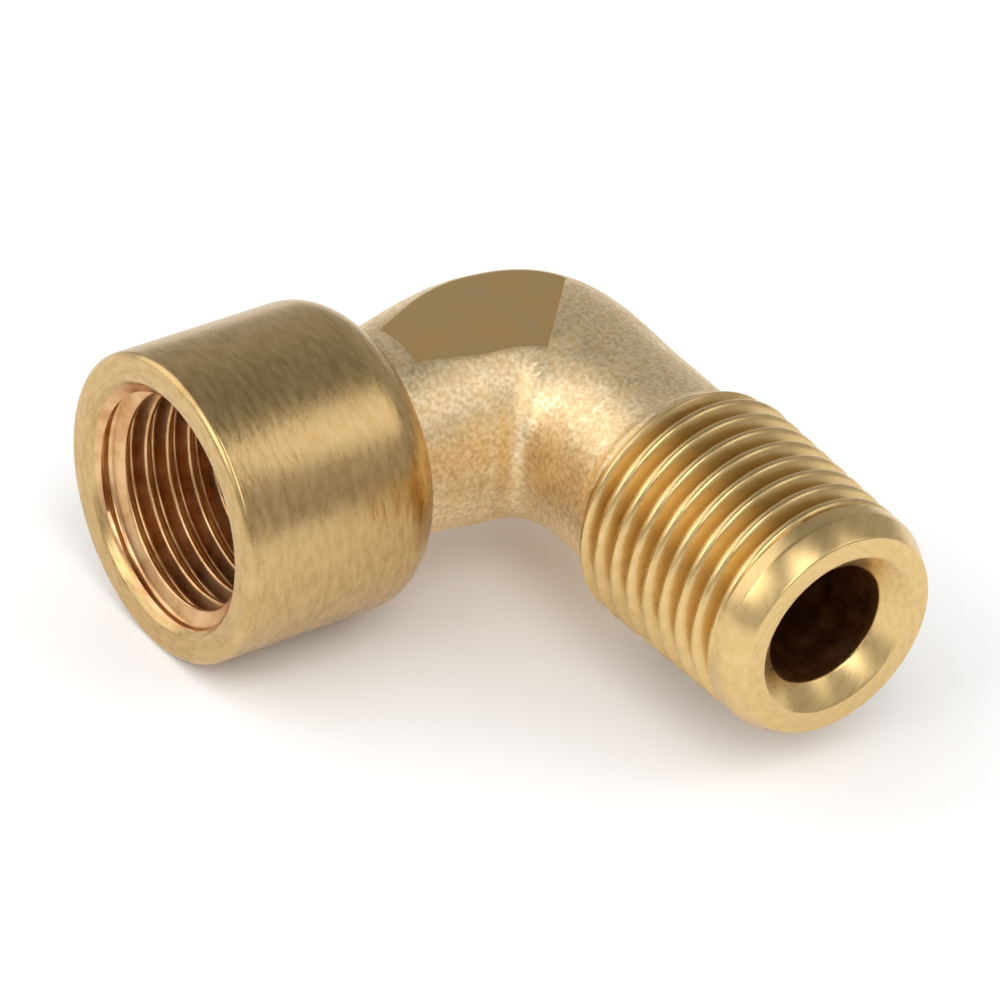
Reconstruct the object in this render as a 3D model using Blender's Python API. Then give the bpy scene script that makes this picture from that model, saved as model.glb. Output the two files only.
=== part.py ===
"""Brass 90 degree street elbow, 1/4 inch, with an external taper pipe thread and an internal thread.

The real fitting is one forging, machined at both ends, so it is one solid here as well. The arms lie along -X
(female socket) and -Y (male spigot). The bores, the threads and the forged bend are closed against each other
ring by ring. The origin is at the middle of the underside of the part's box.
"""

import math

import bmesh
import bpy
from mathutils import Matrix, Vector

MM = 0.001
SEGMENTS = 32
WELD = 1.0 * MM / 1000

# 1/4 inch pipe thread, 19 turns to the inch, 55 degree form, taper 1 in 16 on the diameter.
PITCH = 25.4 * MM / 19
THREAD_DEPTH = 0.640327 * PITCH
GAUGE_DIAMETER = 13.157 * MM
GAUGE_LENGTH = 6.0 * MM
TAPER = 1 / 32
THREAD_FORM = ((0.0, 0.0), (0.18, 0.0), (0.50, 1.0), (0.68, 1.0), (1.0, 0.0))
THREAD_DRAWN_APART = 0.5

# Distances along each arm, from the crossing of the two port axes.
SOCKET_FACE = 24.25 * MM
SPIGOT_FACE = 25.6 * MM

SOCKET_RADIUS = 8.36 * MM
SOCKET_EDGE_BREAK = 0.25 * MM
SHOULDER_RADIUS = 2.7 * MM
SHOULDER_STEPS = 6
SOCKET_MOUTH_RADIUS = 6.9 * MM
SOCKET_MINOR_RADIUS = GAUGE_DIAMETER / 2 - THREAD_DEPTH
SOCKET_THREAD_END = 13.8 * MM
TAP_HOLE_END = 12.9 * MM
DRILL_POINT_ANGLE = math.radians(59)

WATERWAY_RADIUS = 3.45 * MM
COUNTERSINK_RADIUS = 4.65 * MM
COUNTERSINK_DEPTH = 1.1 * MM
NOSE_RADIUS = 5.8 * MM
NOSE_CHAMFER = 1.3 * MM
NOSE_BAND = 2.1 * MM
SPIGOT_THREAD_START = 10.6 * MM
SPIGOT_START_SLOPE = 2.4 * MM
SPIGOT_RUN_OUT = 2.6 * MM
SPIGOT_NECK_RADIUS = 5.65 * MM
SOCKET_RUN_OUT = 1.2 * MM

# The forged bend. It turns about an upright line at (-BEND_PIVOT, -BEND_PIVOT), and its sections are numbered
# from 0 at the socket's arm to 1 at the spigot's arm. A high squareness brings the two arms to a mitre.
BEND_PIVOT = 7.6 * MM
BEND_STEPS = 12
HEEL_SQUARENESS = 3.5
CROTCH_SQUARENESS = 7.0
MITRE = 0.5
MITRE_LEAN = math.radians(7)
HEEL_FALL_START = 0.32
HEEL_FALL_LENGTH = 0.6
OUTER_RADIUS = 6.85 * MM
INNER_RADIUS = 5.85 * MM
FLAT_HEIGHT = 5.45 * MM
SOCKET_NECK = 11.7 * MM
SOCKET_NECK_RADIUS = 5.6 * MM
NECK_STEPS = 4
FLAT_START = 0.45
NECK_SWELL = 0.51
BEND_SWELL = 2.2


def blend(low, high, share):
    """The value between low and high, eased at both ends."""
    share = min(max(share, 0.0), 1.0)
    return low + (high - low) * share * share * (3 - 2 * share)


def lathe(bm, profile):
    """Turns a profile of (radius, height) points round Z."""
    verts = [bm.verts.new((radius, 0.0, height)) for radius, height in profile]
    edges = [bm.edges.new(pair) for pair in zip(verts, verts[1:])]
    bmesh.ops.spin(
        bm, geom=verts + edges, cent=(0, 0, 0), axis=(0, 0, 1), angle=math.tau, steps=SEGMENTS, use_merge=True
    )


def skin(bm, rings):
    """Bridges each ring of points to the next."""
    loops = []
    for ring in rings:
        verts = [bm.verts.new(point) for point in ring]
        loops.append([bm.edges.new(pair) for pair in zip(verts, verts[1:] + verts[:1])])
    for loop, following in zip(loops, loops[1:]):
        bmesh.ops.bridge_loops(bm, edges=loop + following)


def helix(bm, start, end, radius_at, start_radius, end_radius):
    """A right-hand thread round Z from height start to height end.

    One pitch of the thread form is spun along the axis, drawn at a radius of 1 m and up, far outside the rest.
    Whatever passes the two ends is drawn back onto a flat ring there, so the thread closes against the turned
    surfaces beside it. radius_at gives the radius for a height and a share of the thread's depth, which is 0 at
    its crest and 1 at its root.
    """
    first = start - PITCH * (1 + 0.3 / SEGMENTS)
    turns = (end - first) / PITCH
    verts = [bm.verts.new((1 + share, 0.0, first + along * PITCH)) for along, share in THREAD_FORM]
    edges = [bm.edges.new(pair) for pair in zip(verts, verts[1:])]
    steps = math.ceil(turns * SEGMENTS)
    bmesh.ops.spin(
        bm,
        geom=verts + edges,
        cent=(0, 0, 0),
        axis=(0, 0, 1),
        dvec=(0, 0, PITCH / SEGMENTS),
        angle=math.tau * steps / SEGMENTS,
        steps=steps,
    )
    for vert in bm.verts:
        share = vert.co.xy.length - 1
        if share < -THREAD_DRAWN_APART:
            continue
        height = vert.co.z
        if height <= start:
            height, radius = start, start_radius
        elif height >= end:
            height, radius = end, end_radius
        else:
            radius = radius_at(height, share)
        turned = vert.co.xy.normalized() * radius
        vert.co = (turned.x, turned.y, height)


def mitred_bore(height):
    """Rings of the waterway, from a flat one at this height to the mitre where the two bores meet."""
    angles = [math.tau * i / SEGMENTS for i in range(SEGMENTS)]
    circle = [(WATERWAY_RADIUS * math.cos(a), WATERWAY_RADIUS * math.sin(a)) for a in angles]
    return [[(x, y, height) for x, y in circle], [(x, y, -x) for x, y in circle]]


def spigot(bm):
    """The male arm along Z: neck, tapered thread, nose, countersink and bore."""
    thread_end = SPIGOT_FACE - NOSE_BAND
    nose_start = SPIGOT_FACE - NOSE_CHAMFER

    def crest(height):
        return GAUGE_DIAMETER / 2 + (SPIGOT_FACE - GAUGE_LENGTH - height) * TAPER

    def radius_at(height, share):
        along = height - SPIGOT_THREAD_START
        cut = blend(0.0, 1.0, along / SPIGOT_RUN_OUT)
        blank = blend(SPIGOT_NECK_RADIUS, crest(height), along / SPIGOT_START_SLOPE)
        return max(blank - THREAD_DEPTH * share * cut, crest(height) - THREAD_DEPTH)

    helix(bm, SPIGOT_THREAD_START, thread_end, radius_at, SPIGOT_NECK_RADIUS, crest(thread_end))
    bore_start = SPIGOT_FACE - COUNTERSINK_DEPTH
    lathe(
        bm,
        [
            (crest(thread_end), thread_end),
            (crest(nose_start), nose_start),
            (NOSE_RADIUS, SPIGOT_FACE),
            (COUNTERSINK_RADIUS, SPIGOT_FACE),
            (WATERWAY_RADIUS, bore_start),
        ],
    )
    skin(bm, mitred_bore(bore_start))


def socket(bm):
    """The female arm along Z: shoulder, turned barrel, face, threaded hole, drill point and bore."""
    mouth_slope = math.tan(math.radians(45))
    major = SOCKET_MINOR_RADIUS + THREAD_DEPTH
    thread_start = SOCKET_THREAD_END
    thread_end = SOCKET_FACE - (SOCKET_MOUTH_RADIUS - major) / mouth_slope
    shoulder_drop = SOCKET_RADIUS - SOCKET_NECK_RADIUS

    def radius_at(height, share):
        cut = blend(0.0, 1.0, (height - thread_start) / SOCKET_RUN_OUT)
        mouth = SOCKET_MOUTH_RADIUS - (SOCKET_FACE - height) * mouth_slope
        return max(SOCKET_MINOR_RADIUS + THREAD_DEPTH * (1 - share) * cut, mouth)

    shoulder = [math.pi / 2 * step / SHOULDER_STEPS for step in range(SHOULDER_STEPS + 1)]
    lathe(
        bm,
        [
            (
                SOCKET_NECK_RADIUS + shoulder_drop * math.sin(angle),
                SOCKET_NECK + SHOULDER_RADIUS * (1 - math.cos(angle)),
            )
            for angle in shoulder
        ]
        + [
            (SOCKET_RADIUS, SOCKET_FACE - SOCKET_EDGE_BREAK),
            (SOCKET_RADIUS - SOCKET_EDGE_BREAK, SOCKET_FACE),
            (SOCKET_MOUTH_RADIUS, SOCKET_FACE),
            (major, thread_end),
        ],
    )
    helix(bm, thread_start, thread_end, radius_at, SOCKET_MINOR_RADIUS, major)
    point_length = (SOCKET_MINOR_RADIUS - WATERWAY_RADIUS) / math.tan(DRILL_POINT_ANGLE)
    lathe(
        bm,
        [
            (SOCKET_MINOR_RADIUS, thread_start),
            (SOCKET_MINOR_RADIUS, TAP_HOLE_END),
            (WATERWAY_RADIUS, TAP_HOLE_END - point_length),
        ],
    )
    skin(bm, mitred_bore(TAP_HOLE_END - point_length))


def section(outer, inner, flat_height):
    """Points round one section of the forging, from its outer side over its top.

    Each is (distance outwards, height, nearness to the outer side from 0 to 1).
    """
    middle = (outer - inner) / 2
    radius = (outer + inner) / 2
    points = []
    for i in range(SEGMENTS):
        angle = math.tau * i / SEGMENTS
        height = min(max(radius * math.sin(angle), -flat_height), flat_height)
        points.append((middle + radius * math.cos(angle), height, (1 + math.cos(angle)) / 2))
    return points


def swollen(swell):
    """Outer and inner radius where the forging swells from the socket's neck (0) to its full body (1)."""
    return blend(SOCKET_NECK_RADIUS, OUTER_RADIUS, swell), blend(SOCKET_NECK_RADIUS, INNER_RADIUS, swell)


def bend_section(share):
    """One section of the bend, placed square to the path between the two arms."""
    outer, inner = swollen(NECK_SWELL + BEND_SWELL * share)
    outer = blend(outer, SPIGOT_NECK_RADIUS, (share - HEEL_FALL_START) / HEEL_FALL_LENGTH)
    inner = blend(inner, SPIGOT_NECK_RADIUS, share)
    flat_height = FLAT_HEIGHT if share <= MITRE else OUTER_RADIUS
    ring = []
    for out, height, side in section(outer, inner, flat_height):
        square = blend(CROTCH_SQUARENESS, HEEL_SQUARENESS, 2 * side)
        turn = math.pi / 2 * share + MITRE_LEAN * (1 - side) * math.sin(math.pi * share)
        reach = (BEND_PIVOT + out) * (math.cos(turn) ** square + math.sin(turn) ** square) ** (-1 / square)
        ring.append((reach * math.sin(turn) - BEND_PIVOT, reach * math.cos(turn) - BEND_PIVOT, height))
    return ring


def forged_bend(bm):
    """The forged body between the socket's neck and the spigot's neck, with its flat top and underside."""
    rings = []
    for step in range(NECK_STEPS):
        along = step / NECK_STEPS
        x = -SOCKET_NECK + (SOCKET_NECK - BEND_PIVOT) * along
        ring = section(*swollen(NECK_SWELL * along), FLAT_HEIGHT if along > FLAT_START else OUTER_RADIUS)
        rings.append([(x, out, height) for out, height, _ in ring])
    rings += [bend_section(step / BEND_STEPS) for step in range(BEND_STEPS + 1)]
    neck = section(SPIGOT_NECK_RADIUS, SPIGOT_NECK_RADIUS, SPIGOT_NECK_RADIUS)
    rings.append([(out, -SPIGOT_THREAD_START, height) for out, height, _ in neck])
    skin(bm, rings)


def brass():
    """Bare machined brass."""
    material = bpy.data.materials.new("brass")
    material.use_nodes = True
    shader = material.node_tree.nodes["Principled BSDF"]
    shader.inputs["Base Color"].default_value = (0.60, 0.42, 0.17, 1)
    shader.inputs["Metallic"].default_value = 1.0
    shader.inputs["Roughness"].default_value = 0.32
    return material


def turned_to(build, columns):
    """A bmesh of one arm, built along Z and turned so that its axes lie along these columns."""
    bm = bmesh.new()
    build(bm)
    bm.transform(Matrix(columns).transposed().to_4x4())
    mesh = bpy.data.meshes.new(build.__name__)
    bm.to_mesh(mesh)
    bm.free()
    return mesh


def elbow_body():
    """The whole fitting as one closed mesh."""
    x, y, z = Vector((1, 0, 0)), Vector((0, 1, 0)), Vector((0, 0, 1))
    bm = bmesh.new()
    for arm in (turned_to(spigot, (x, z, -y)), turned_to(socket, (y, -z, -x))):
        bm.from_mesh(arm)
        bpy.data.meshes.remove(arm)
    forged_bend(bm)
    bmesh.ops.remove_doubles(bm, verts=bm.verts, dist=WELD)
    bmesh.ops.recalc_face_normals(bm, faces=bm.faces)
    mesh = bpy.data.meshes.new("elbow_body")
    bm.to_mesh(mesh)
    bm.free()
    mesh.shade_smooth()
    mesh.set_sharp_from_angle(angle=math.radians(30))
    mesh.materials.append(brass())
    body = bpy.data.objects.new("elbow_body", mesh)
    bpy.context.collection.objects.link(body)
    return body


def box(obj):
    """The lowest and the highest corner of the object's mesh."""
    points = [vert.co for vert in obj.data.vertices]
    low = Vector(map(min, *points))
    high = Vector(map(max, *points))
    return low, high


for old in list(bpy.data.objects):
    bpy.data.objects.remove(old)

elbow = elbow_body()
lowest, highest = box(elbow)
elbow.location = -Vector(((lowest.x + highest.x) / 2, (lowest.y + highest.y) / 2, lowest.z))
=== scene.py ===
"""Brass 90 degree street elbow, 1/4 inch pipe thread: how it looks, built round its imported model."""

import math

import bmesh
import bpy
from mathutils import Matrix, Vector


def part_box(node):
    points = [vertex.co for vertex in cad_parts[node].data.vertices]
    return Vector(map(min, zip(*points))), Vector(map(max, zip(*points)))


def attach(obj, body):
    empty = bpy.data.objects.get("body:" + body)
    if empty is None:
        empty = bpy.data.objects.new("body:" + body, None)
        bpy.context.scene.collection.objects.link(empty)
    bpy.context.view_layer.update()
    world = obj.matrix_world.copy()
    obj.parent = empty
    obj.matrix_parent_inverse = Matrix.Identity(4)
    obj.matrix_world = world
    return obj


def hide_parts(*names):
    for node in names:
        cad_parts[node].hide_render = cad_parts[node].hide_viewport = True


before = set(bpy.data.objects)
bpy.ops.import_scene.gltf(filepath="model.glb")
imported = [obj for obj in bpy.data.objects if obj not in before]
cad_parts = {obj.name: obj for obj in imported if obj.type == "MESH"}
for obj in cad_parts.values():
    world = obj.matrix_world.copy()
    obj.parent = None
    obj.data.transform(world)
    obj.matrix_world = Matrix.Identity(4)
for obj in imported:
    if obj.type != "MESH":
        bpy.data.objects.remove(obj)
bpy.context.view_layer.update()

# THE SPIGOT. The male arm of the forging, cut in the lathe: a right-hand taper thread run out onto the neck,
# a plain nose with a chamfer and a countersunk bore. Each zone of the part is a mesh of its own until the
# zones are welded into the one piece of metal that the fitting is.
MM = 0.001
SEGMENTS = 160
PITCH = 25.4 * MM / 19
THREAD_DEPTH = 0.640327 * PITCH
GAUGE_DIAMETER = 13.157 * MM
GAUGE_LENGTH = 6.0 * MM
TAPER = 1 / 32
HALF_THREAD = ((0.0, 0.0), (0.08, 0.02), (0.14, 0.08), (0.20, 0.22), (0.37, 0.82), (0.41, 0.94), (0.45, 0.99))
OTHER_HALF = tuple((1 - along, share) for along, share in reversed(HALF_THREAD))
THREAD_FORM = HALF_THREAD + ((0.5, 1.0),) + OTHER_HALF
SPIGOT_FACE = 25.6 * MM
NOSE_RADIUS = 5.8 * MM
NOSE_CHAMFER = 1.3 * MM
NOSE_BAND = 2.1 * MM
EDGE_ROUND = 0.12 * MM
ROUND_SHARE = 2.5
ROUND_STEPS = 3
SEAM_SHIFT = 0.3
THREAD_START = 10.6 * MM
START_SLOPE = 2.4 * MM
SPIGOT_RUN_OUT = 2.0 * MM
BARE_NECK = 1.1 * MM
NECK_RADIUS = 5.65 * MM
WATERWAY_RADIUS = 3.45 * MM
COUNTERSINK_RADIUS = 4.65 * MM
COUNTERSINK_DEPTH = 1.1 * MM
FORGED, PRESSED, TURNED, THREADED, BORED = range(5)


def blend(low, high, share):
    """The value between low and high, eased at both ends."""
    share = min(max(share, 0.0), 1.0)
    return low + (high - low) * share * share * (3 - 2 * share)


def rounded(profile, radius):
    """The profile with each inner corner replaced by a small round of about this radius."""
    points = [Vector(point) for point in profile]
    result = [points[0]]
    for before, corner, after in zip(points, points[1:], points[2:]):
        start = corner + (before - corner).normalized() * min(radius, (before - corner).length / ROUND_SHARE)
        end = corner + (after - corner).normalized() * min(radius, (after - corner).length / ROUND_SHARE)
        for step in range(ROUND_STEPS + 1):
            t = step / ROUND_STEPS
            result.append(start * (1 - t) ** 2 + corner * 2 * t * (1 - t) + end * t**2)
    return [tuple(point) for point in result + [points[-1]]]


def lathe(bm, profile, surface):
    """Turns a profile of (radius, height) points round Z."""
    verts = [bm.verts.new((radius, 0.0, height)) for radius, height in profile]
    edges = [bm.edges.new(pair) for pair in zip(verts, verts[1:])]
    faces = set(bm.faces)
    bmesh.ops.spin(
        bm, geom=verts + edges, cent=(0, 0, 0), axis=(0, 0, 1), angle=math.tau, steps=SEGMENTS, use_merge=True
    )
    for face in bm.faces:
        if face not in faces:
            face.material_index = surface


def skin(bm, rings, surface):
    """Bridges each ring of points to the next."""
    loops = []
    for ring in rings:
        verts = [bm.verts.new(point) for point in ring]
        loops.append([bm.edges.new(pair) for pair in zip(verts, verts[1:] + verts[:1])])
    for loop, following in zip(loops, loops[1:]):
        for face in bmesh.ops.bridge_loops(bm, edges=loop + following)["faces"]:
            face.material_index = surface


def helix(bm, start, end, radius_at, start_radius, end_radius, surface):
    """A right-hand thread round Z from height start to height end.

    One turn is spun from the thread form, drawn at a radius of 1 plus its share of the depth, and repeated.
    What passes the two ends is drawn back onto a flat ring there, so the thread closes against the next zone.
    """
    first = start - PITCH * (1 + SEAM_SHIFT / SEGMENTS)
    verts = [bm.verts.new((1 + share, 0.0, first + along * PITCH)) for along, share in THREAD_FORM]
    edges = [bm.edges.new(pair) for pair in zip(verts, verts[1:])]
    bmesh.ops.spin(
        bm,
        geom=verts + edges,
        cent=(0, 0, 0),
        axis=(0, 0, 1),
        dvec=(0, 0, PITCH / SEGMENTS),
        angle=math.tau,
        steps=SEGMENTS,
    )
    one_turn = bm.verts[:] + bm.edges[:] + bm.faces[:]
    for turn in range(1, math.ceil((end - first) / PITCH)):
        again = bmesh.ops.duplicate(bm, geom=one_turn)["geom"]
        moved = [vert for vert in again if isinstance(vert, bmesh.types.BMVert)]
        bmesh.ops.translate(bm, verts=moved, vec=(0, 0, turn * PITCH))
    for vert in bm.verts:
        share = vert.co.xy.length - 1
        height = min(max(vert.co.z, start), end)
        radius = {start: start_radius, end: end_radius}.get(height) or radius_at(height, share)
        turned = vert.co.xy.normalized() * radius
        vert.co = (turned.x, turned.y, height)
    for face in bm.faces:
        face.material_index = surface


def mitred_bore(height):
    """Rings of the waterway, from a flat one at this height to the mitre where the two bores meet."""
    angles = [math.tau * i / SEGMENTS for i in range(SEGMENTS)]
    circle = [(WATERWAY_RADIUS * math.cos(a), WATERWAY_RADIUS * math.sin(a)) for a in angles]
    return [[(x, y, height) for x, y in circle], [(x, y, -x) for x, y in circle]]


def crest(height):
    """Radius of the spigot's thread crests at this distance from the crossing of the port axes."""
    return GAUGE_DIAMETER / 2 + (SPIGOT_FACE - GAUGE_LENGTH - height) * TAPER


def spigot_radius(height, share):
    """Radius of the cut spigot for a share of the thread's depth: the tool leaves the metal near the neck."""
    along = height - THREAD_START
    blank = blend(NECK_RADIUS, crest(height), along / START_SLOPE)
    root = min(blank, crest(height) - THREAD_DEPTH)
    return max(blank - THREAD_DEPTH * share * blend(0.0, 1.0, along / SPIGOT_RUN_OUT), root)


thread_end = SPIGOT_FACE - NOSE_BAND
bore_start = SPIGOT_FACE - COUNTERSINK_DEPTH
bore_lip = bore_start - 3 * EDGE_ROUND
nose = [
    (crest(thread_end), thread_end),
    (crest(SPIGOT_FACE - NOSE_CHAMFER), SPIGOT_FACE - NOSE_CHAMFER),
    (NOSE_RADIUS, SPIGOT_FACE),
    (COUNTERSINK_RADIUS, SPIGOT_FACE),
    (WATERWAY_RADIUS, bore_start),
    (WATERWAY_RADIUS, bore_lip),
]
spigot = bmesh.new()
helix(spigot, THREAD_START, thread_end, spigot_radius, NECK_RADIUS, crest(thread_end), THREADED)
for face in spigot.faces:
    if face.calc_center_median().z < THREAD_START + BARE_NECK:
        face.material_index = FORGED
lathe(spigot, rounded(nose, EDGE_ROUND), THREADED)
skin(spigot, mitred_bore(bore_lip), BORED)

# THE SOCKET. The female arm: a turned barrel with a rounded shoulder, a faced end, a chamfered mouth, a
# parallel internal thread, and the tap hole with its drill point that leads into the waterway.
SOCKET_FACE = 24.25 * MM
SOCKET_RADIUS = 8.36 * MM
EDGE_BREAK = 0.25 * MM
SHOULDER_RADIUS = 2.7 * MM
SHOULDER_STEPS = 14
MOUTH_RADIUS = 6.9 * MM
MAJOR_RADIUS = GAUGE_DIAMETER / 2
MINOR_RADIUS = MAJOR_RADIUS - THREAD_DEPTH
SOCKET_THREAD_END = 13.8 * MM
SOCKET_RUN_OUT = 1.2 * MM
TAP_HOLE_END = 12.9 * MM
DRILL_POINT_ANGLE = math.radians(59)
SOCKET_NECK = 11.7 * MM
SOCKET_NECK_RADIUS = 5.6 * MM


def socket_radius(height, share):
    """Radius of the tapped hole for a share of the thread's depth, opened by the chamfer at its mouth."""
    cut = blend(0.0, 1.0, (height - SOCKET_THREAD_END) / SOCKET_RUN_OUT)
    return max(MINOR_RADIUS + THREAD_DEPTH * (1 - share) * cut, MOUTH_RADIUS - (SOCKET_FACE - height))


mouth_end = SOCKET_FACE - (MOUTH_RADIUS - MAJOR_RADIUS)
point_end = TAP_HOLE_END - (MINOR_RADIUS - WATERWAY_RADIUS) / math.tan(DRILL_POINT_ANGLE)
quarter = [math.pi / 2 * step / SHOULDER_STEPS for step in range(SHOULDER_STEPS + 1)]
shoulder = [
    (
        SOCKET_NECK_RADIUS + (SOCKET_RADIUS - SOCKET_NECK_RADIUS) * math.sin(angle),
        SOCKET_NECK + SHOULDER_RADIUS * (1 - math.cos(angle)),
    )
    for angle in quarter
]
barrel = [
    shoulder[-1],
    (SOCKET_RADIUS, SOCKET_FACE - EDGE_BREAK),
    (SOCKET_RADIUS - EDGE_BREAK, SOCKET_FACE),
    (MOUTH_RADIUS, SOCKET_FACE),
    (MAJOR_RADIUS, mouth_end),
]
tap_hole = [(MINOR_RADIUS, SOCKET_THREAD_END), (MINOR_RADIUS, TAP_HOLE_END), (WATERWAY_RADIUS, point_end)]
socket = bmesh.new()
helix(socket, SOCKET_THREAD_END, mouth_end, socket_radius, MINOR_RADIUS, MAJOR_RADIUS, BORED)
lathe(socket, shoulder + rounded(barrel, EDGE_ROUND)[1:], TURNED)
lathe(socket, rounded(tap_hole, EDGE_ROUND), BORED)
skin(socket, mitred_bore(point_end), BORED)

# THE FORGED BEND. The bare skin of the forging between the two machined arms, about round in section, with a
# flat pressed into the top and the underside of the socket's half that ends at the mitre.
BEND_PIVOT = 7.6 * MM
BEND_STEPS = 64
HEEL_SQUARENESS = 3.5
CROTCH_SQUARENESS = 4.0
MITRE_LEAN = math.radians(7)
HEEL_FALL_START = 0.32
HEEL_FALL_LENGTH = 0.6
OUTER_RADIUS = 6.85 * MM
INNER_RADIUS = 5.85 * MM
FLAT_HEIGHT = 5.45 * MM
FLAT_START = 0.45
NECK_STEPS = 20
NECK_SWELL = 0.51
BEND_SWELL = 2.2
SIDE_POINTS = 28
FLAT_POINTS = 24
WELD = 0.001 * MM


def section(outer, inner, crispness, pressed):
    """(distance outwards, height, nearness to the outer side) round one section of the forging.

    A crisp section has points on the edges of the flats, one that isn't has them evenly spaced.
    """
    middle, radius = (outer - inner) / 2, (outer + inner) / 2
    even = math.tau * SIDE_POINTS / SEGMENTS
    edge = even + (math.asin(FLAT_HEIGHT / radius) - even) * crispness
    points = []
    for i in range(SEGMENTS):
        half, place = divmod(i, SEGMENTS // 2)
        if place <= SIDE_POINTS:
            angle = edge * place / SIDE_POINTS
        elif place < SIDE_POINTS + FLAT_POINTS:
            angle = edge + (math.pi - 2 * edge) * (place - SIDE_POINTS) / FLAT_POINTS
        else:
            angle = math.pi - edge * (SEGMENTS // 2 - place) / SIDE_POINTS
        angle += half * math.pi
        height = radius * math.sin(angle)
        if pressed:
            height = min(max(height, -FLAT_HEIGHT), FLAT_HEIGHT)
        points.append((middle + radius * math.cos(angle), height, (1 + math.cos(angle)) / 2))
    return points


def swollen(swell):
    """Outer and inner radius where the forging swells from the socket's neck (0) to its full body (1)."""
    return blend(SOCKET_NECK_RADIUS, OUTER_RADIUS, swell), blend(SOCKET_NECK_RADIUS, INNER_RADIUS, swell)


def neck_ring(along, crispness, pressed):
    """One section of the straight neck, from the socket's shoulder (0) to the bend (1)."""
    x = -SOCKET_NECK + (SOCKET_NECK - BEND_PIVOT) * along
    ring = section(*swollen(NECK_SWELL * along), crispness, pressed)
    return [(x, out, height) for out, height, _ in ring]


def bend_ring(share, crispness, pressed):
    """One section of the bend, turned from the socket's arm (0) to the spigot's arm (1)."""
    outer, inner = swollen(NECK_SWELL + BEND_SWELL * share)
    outer = blend(outer, NECK_RADIUS, (share - HEEL_FALL_START) / HEEL_FALL_LENGTH)
    inner = blend(inner, NECK_RADIUS, share)
    ring = []
    for out, height, side in section(outer, inner, crispness, pressed):
        square = blend(CROTCH_SQUARENESS, HEEL_SQUARENESS, 2 * side)
        turn = math.pi / 2 * share + MITRE_LEAN * (1 - side) * math.sin(math.pi * share)
        reach = (BEND_PIVOT + out) * (math.cos(turn) ** square + math.sin(turn) ** square) ** (-1 / square)
        ring.append((reach * math.sin(turn) - BEND_PIVOT, reach * math.cos(turn) - BEND_PIVOT, height))
    return ring


flat_step = round(FLAT_START * NECK_STEPS)
rings = [neck_ring(step / NECK_STEPS, step / flat_step, False) for step in range(flat_step + 1)]
rings += [neck_ring(step / NECK_STEPS, 1.0, True) for step in range(flat_step, NECK_STEPS)]
mitre = BEND_STEPS // 2
rings += [bend_ring(step / BEND_STEPS, 1.0, True) for step in range(mitre + 1)]
rings += [bend_ring(step / BEND_STEPS, 2 - step / mitre, False) for step in range(mitre, BEND_STEPS + 1)]
neck_end = section(NECK_RADIUS, NECK_RADIUS, 0.0, False)
rings.append([(out, -THREAD_START, height) for out, height, _ in neck_end])
bend = bmesh.new()
skin(bend, rings, FORGED)
for face in bend.faces:
    if all(abs(abs(vert.co.z) - FLAT_HEIGHT) < WELD for vert in face.verts):
        face.material_index = PRESSED

# THE WHOLE FITTING. The three zones are one forging, so they are welded edge to edge into one closed mesh
# that stands in for the CAD body.
SHARP = math.radians(35)


def added(bm, zone, columns):
    """Adds a zone to the fitting's mesh, turned so that its own axes lie along these columns."""
    zone.transform(Matrix(columns).transposed().to_4x4())
    mesh = bpy.data.meshes.new("zone")
    zone.to_mesh(mesh)
    zone.free()
    bm.from_mesh(mesh)
    bpy.data.meshes.remove(mesh)


x_axis, y_axis, z_axis = Vector((1, 0, 0)), Vector((0, 1, 0)), Vector((0, 0, 1))
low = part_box("elbow_body")[0]
crossing = low + Vector((SOCKET_FACE, SPIGOT_FACE, SOCKET_RADIUS))
body = bmesh.new()
added(body, spigot, (x_axis, z_axis, -y_axis))
added(body, socket, (y_axis, -z_axis, -x_axis))
added(body, bend, (x_axis, y_axis, z_axis))
bmesh.ops.remove_doubles(body, verts=body.verts, dist=WELD)
bmesh.ops.dissolve_degenerate(body, edges=body.edges, dist=WELD)
bmesh.ops.recalc_face_normals(body, faces=body.faces)
bmesh.ops.translate(body, verts=body.verts, vec=crossing)
elbow_mesh = bpy.data.meshes.new("brass_elbow")
body.to_mesh(elbow_mesh)
body.free()
elbow_mesh.shade_smooth()
elbow_mesh.set_sharp_from_angle(angle=SHARP)


class Field:
    """A shader socket that can be used in Python sums."""

    def __init__(self, socket):
        self.socket = socket

    def __add__(self, other):
        return node("Math", {"operation": "ADD"}, [self, other])

    def __sub__(self, other):
        return node("Math", {"operation": "SUBTRACT"}, [self, other])

    def __rsub__(self, other):
        return node("Math", {"operation": "SUBTRACT"}, [other, self])

    def __mul__(self, other):
        return node("Math", {"operation": "MULTIPLY"}, [self, other])

    __radd__ = __add__
    __rmul__ = __mul__


def node(kind, settings, inputs, output=0):
    """Adds one shader node to the tree in hand and returns the chosen output."""
    made = tree.nodes.new("ShaderNode" + kind)
    for name, value in settings.items():
        setattr(made, name, value)
    for name, value in inputs.items() if isinstance(inputs, dict) else enumerate(inputs):
        if isinstance(value, Field):
            tree.links.new(value.socket, made.inputs[name])
        else:
            made.inputs[name].default_value = value
    return Field(made.outputs[output])


def vector(operation, *inputs):
    """One Vector Math step."""
    return node("VectorMath", {"operation": operation}, list(inputs))


def noise_at(place, scale, detail=2.0):
    """Noise around 0.5 at this place, with so many features to a unit of length."""
    return node("TexNoise", {}, {"Vector": place, "Scale": scale, "Detail": detail})


def between(field, low, high):
    """The field stretched so that low becomes 0 and high becomes 1, and held between them."""
    return node("MapRange", {}, [field, low, high, 0.0, 1.0])


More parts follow.
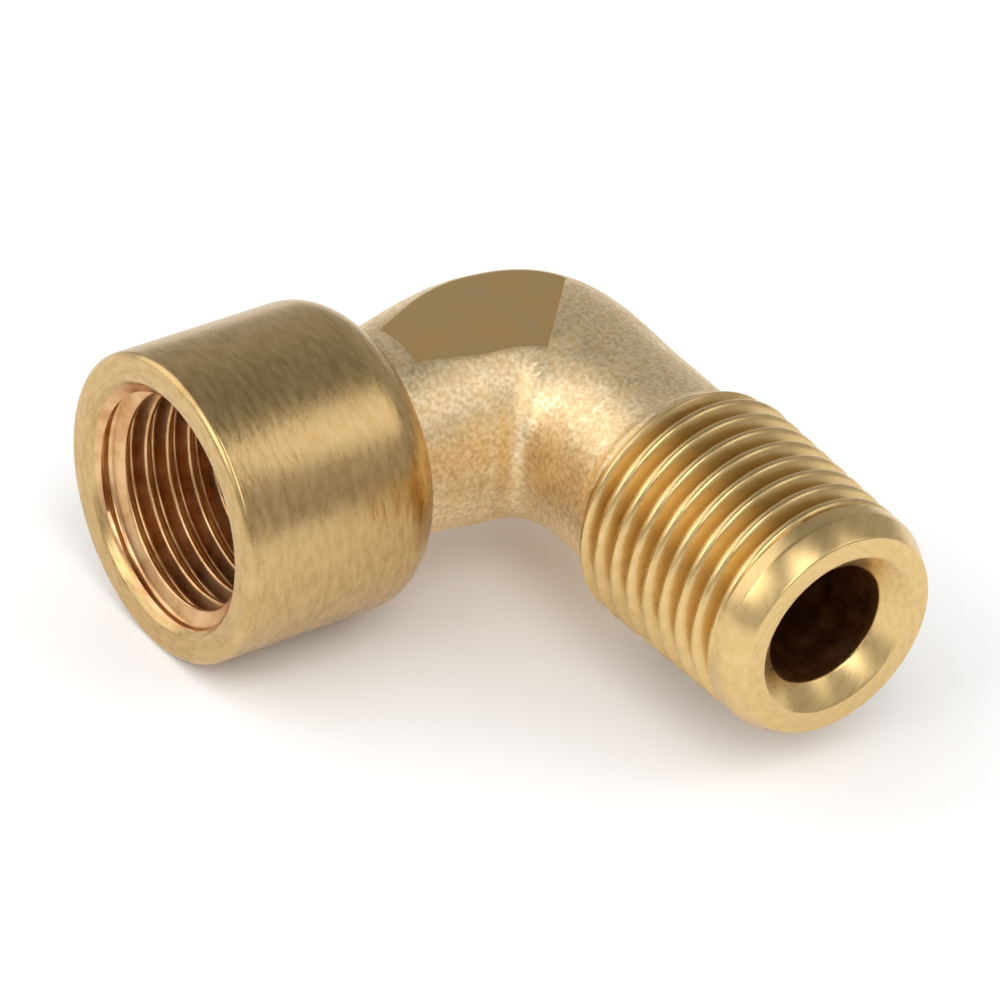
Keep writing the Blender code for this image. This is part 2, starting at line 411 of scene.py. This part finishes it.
def mixed(share, first, second):
    """A colour between the first (share 0) and the second (share 1)."""
    made = node("Mix", {"data_type": "RGBA"}, {"Factor": share}, "Result")
    sockets = made.socket.node.inputs
    for index, value in ((6, first), (7, second)):
        if isinstance(value, Field):
            tree.links.new(value.socket, sockets[index])
        else:
            sockets[index].default_value = (*value, 1)
    return Field(made.socket.node.outputs[2])


def bump(height, depth):
    """A surface raised by the height field, which runs from 0 to 1, to this depth in metres."""
    return node("Bump", {}, {"Strength": 1.0, "Distance": depth, "Height": height})


def brass(colour, roughness, normal):
    """A bare brass finish from its colour, roughness and normal fields."""
    shader = tree.nodes["Principled BSDF"]
    shader.inputs["Metallic"].default_value = 1.0
    for socket, field in (("Base Color", colour), ("Roughness", roughness), ("Normal", normal)):
        tree.links.new(field.socket, shader.inputs[socket])


def finish(name):
    """Adds a finish to the fitting's mesh and returns its node tree."""
    material = bpy.data.materials.new(name)
    material.use_nodes = True
    elbow_mesh.materials.append(material)
    return material.node_tree


def from_crossing():
    """The place on the fitting, from the crossing of its port axes."""
    return vector("SUBTRACT", node("TexCoord", {}, {}, "Object"), tuple(crossing))


def lathe_place(mask, marks, breaks):
    """A place that runs slowly round an arm and fast along and across it, the reach along it and the radius.

    The mask is 1 for the two directions across the arm and 0 along it.
    """
    place = from_crossing()
    across = vector("MULTIPLY", place, mask)
    along = vector("SUBTRACT", place, across)
    out = node("VectorMath", {"operation": "LENGTH"}, [across], "Value")
    reach = node("VectorMath", {"operation": "DOT_PRODUCT"}, [along, (-1, -1, -1)], "Value")
    swept = node("CombineXYZ", {}, [(reach + out) * marks, 0.0, 0.0])
    around = vector("MULTIPLY", vector("NORMALIZE", across), (breaks, breaks, breaks))
    return vector("ADD", around, swept), reach, out


# Forged skin, shot-blasted: pale peened dimples, golden where the scale wore off, and a few brown stains.
PEEN = 3800.0
PATCH = 900.0
STAIN = 420.0
PEEN_DEPTH = 0.024 * MM
tree = finish("forged_skin")
spot = from_crossing()
peened = noise_at(spot, PEEN, 3.0)
patches = between(noise_at(spot, PATCH), 0.35, 0.65)
stains = between(noise_at(spot, STAIN, 4.0), 0.58, 0.72)
skin_colour = mixed(between(peened, 0.36, 0.64), (0.74, 0.54, 0.28), (0.99, 0.82, 0.54))
skin_colour = mixed(patches * 0.40, skin_colour, (0.90, 0.64, 0.32))
skin_colour = mixed(stains * 0.30, skin_colour, (0.60, 0.36, 0.16))
brass(skin_colour, 0.40 + 0.12 * patches, bump(peened, PEEN_DEPTH))

# The pressed flats: the die leaves them smooth and a little browner.
tree = finish("pressed_flat")
spot = from_crossing()
worn = noise_at(spot, STAIN, 4.0)
flat_colour = mixed(between(worn, 0.4, 0.65), (0.66, 0.47, 0.22), (0.70, 0.45, 0.18))
brass(flat_colour, 0.42 + 0.08 * worn, bump(noise_at(spot, PEEN, 2.0), PEEN_DEPTH / 8))

# Turned brass on the socket: tool marks that run round the arm and break up where the tool chattered.
MARKS = 2700.0
BREAKS = 8.0
MARK_DEPTH = 0.024 * MM
tree = finish("turned_socket")
marks = noise_at(lathe_place((0, 1, 1), MARKS, BREAKS)[0], 1.0, 3.0)
turned_colour = mixed(between(marks, 0.35, 0.65), (0.52, 0.345, 0.145), (0.63, 0.435, 0.20))
brass(turned_colour, 0.20 + 0.18 * marks, bump(marks, MARK_DEPTH))

# Thread and nose, cut in the lathe: the crests keep the plain cut colour, and painted shade darkens the
# thread's grooves towards their roots and fades out before the nose.
GROOVE_SHADE_START = 0.30 * MM
GROOVE_SHADE_DEEP = 0.80 * MM
NOSE_FADE = 0.20 * MM
tree = finish("cut_spigot")
place, reach, out = lathe_place((1, 0, 1), MARKS, BREAKS)
marks = noise_at(place, 1.0, 3.0)
crests = crest(0.0) - reach * TAPER
# Painted shade mask: 0 on the crests, 1 near the root of each groove, faded to 0 on the nose.
painted_groove_shade = between(crests - out, GROOVE_SHADE_START, GROOVE_SHADE_DEEP) * between(reach, thread_end + NOSE_FADE, thread_end)
cut_colour = mixed(between(marks, 0.35, 0.65), (0.68, 0.48, 0.205), (0.76, 0.54, 0.25))
# The grooves are darkened with painted shade, half way towards a dark brown.
cut_colour = mixed(painted_groove_shade * 0.5, cut_colour, (0.48, 0.29, 0.10))
brass(cut_colour, 0.22 + 0.14 * marks, bump(marks, MARK_DEPTH / 6))

# Bored and tapped holes: the same metal, redder and duller where oil and swarf dried.
tree = finish("bored_brass")
dried = noise_at(from_crossing(), PATCH)
bored_colour = mixed(between(dried, 0.35, 0.65), (0.60, 0.33, 0.14), (0.78, 0.50, 0.26))
brass(bored_colour, 0.24 + 0.10 * dried, bump(dried, MARK_DEPTH / 12))

elbow = bpy.data.objects.new("brass_elbow", elbow_mesh)
bpy.context.scene.collection.objects.link(elbow)
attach(elbow, "root")
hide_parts("elbow_body")

# THE STUDIO. A pale floor, soft panels of light round the fitting, an even light over the floor that the
# metal does not mirror, and the camera.
FLOOR_SIZE = 6.0
PAPER_GREY = 0.92
AIM = Vector((5.127, 6.716, 3.078)) * MM
DISTANCE = 365.35 * MM
LENS = 248.86
SENSOR = 36.0
NEAR = 0.01
AZIMUTH, ELEVATION, ROLL = (math.radians(angle) for angle in (38.916, 35.379, 5.972))
SKY_LOW, SKY_HIGH, SKY_TURN, SKY_SEEN = 0.46, 0.22, 0.5, 0.97


def direction(azimuth, elevation):
    """The direction of a place seen from the fitting, with its azimuth from -Y towards -X."""
    flat = math.cos(elevation)
    return Vector((-math.sin(azimuth) * flat, -math.cos(azimuth) * flat, math.sin(elevation)))


def facing(place, roll=0.0):
    """The turn of a camera or lamp that looks from this direction back at the fitting."""
    return place.to_track_quat("Z", "Y").to_matrix().to_4x4() @ Matrix.Rotation(roll, 4, "Z")


floor_bm = bmesh.new()
bmesh.ops.create_grid(floor_bm, x_segments=1, y_segments=1, size=FLOOR_SIZE / 2)
floor_mesh = bpy.data.meshes.new("floor")
floor_bm.to_mesh(floor_mesh)
floor_bm.free()
floor = bpy.data.objects.new("floor", floor_mesh)
bpy.context.scene.collection.objects.link(floor)
paper = bpy.data.materials.new("paper")
paper.use_nodes = True
paper.node_tree.nodes["Principled BSDF"].inputs["Base Color"].default_value = (*[PAPER_GREY] * 3, 1)
paper.node_tree.nodes["Principled BSDF"].inputs["Roughness"].default_value = 1.0
paper.node_tree.nodes["Principled BSDF"].inputs["Specular IOR Level"].default_value = 0.0
floor_mesh.materials.append(paper)

camera = bpy.data.objects.new("camera", bpy.data.cameras.new("camera"))
camera.data.lens = LENS
camera.data.sensor_width = SENSOR
camera.data.clip_start = NEAR
camera_side = direction(AZIMUTH, ELEVATION)
camera.matrix_world = Matrix.Translation(AIM + camera_side * DISTANCE) @ facing(camera_side, ROLL)
bpy.context.scene.collection.objects.link(camera)
bpy.context.scene.camera = camera

for name, azimuth, elevation, distance, width, height, radiance, mirrored in (
    ("right_panel", -48, 47, 0.60, 0.30, 0.30, 1.15, True),
    ("left_panel", 143, 34, 0.60, 0.56, 0.56, 1.15, True),
    ("front_strip", 22, 50, 0.60, 0.24, 0.50, 2.8, True),
    ("side_panel", 88, 36, 0.60, 0.30, 0.30, 2.6, True),
    ("floor_light", 0, 90, 0.90, 8.00, 8.00, 0.40, False),
):
    lamp = bpy.data.lights.new(name, "AREA")
    lamp.shape = "RECTANGLE"
    lamp.size, lamp.size_y = width, height
    lamp.energy = radiance * math.pi * width * height
    side = direction(math.radians(azimuth), math.radians(elevation))
    panel = bpy.data.objects.new(name, lamp)
    panel.matrix_world = Matrix.Translation(side * distance) @ facing(side)
    panel.visible_glossy = mirrored
    bpy.context.scene.collection.objects.link(panel)

world = bpy.data.worlds.new("studio")
world.use_nodes = True
tree = world.node_tree
up = node("SeparateXYZ", {}, [node("TexCoord", {}, {}, "Generated")], "Z")
sky = SKY_LOW + (SKY_HIGH - SKY_LOW) * between(up, SKY_TURN, 1.0)
seen = node("LightPath", {}, {}, "Is Camera Ray")
tree.nodes["Background"].inputs["Color"].default_value = (1, 1, 1, 1)
tree.links.new((sky + (SKY_SEEN - sky) * seen).socket, tree.nodes["Background"].inputs["Strength"])
bpy.context.scene.world = world
bpy.context.scene.view_settings.view_transform = "Standard"
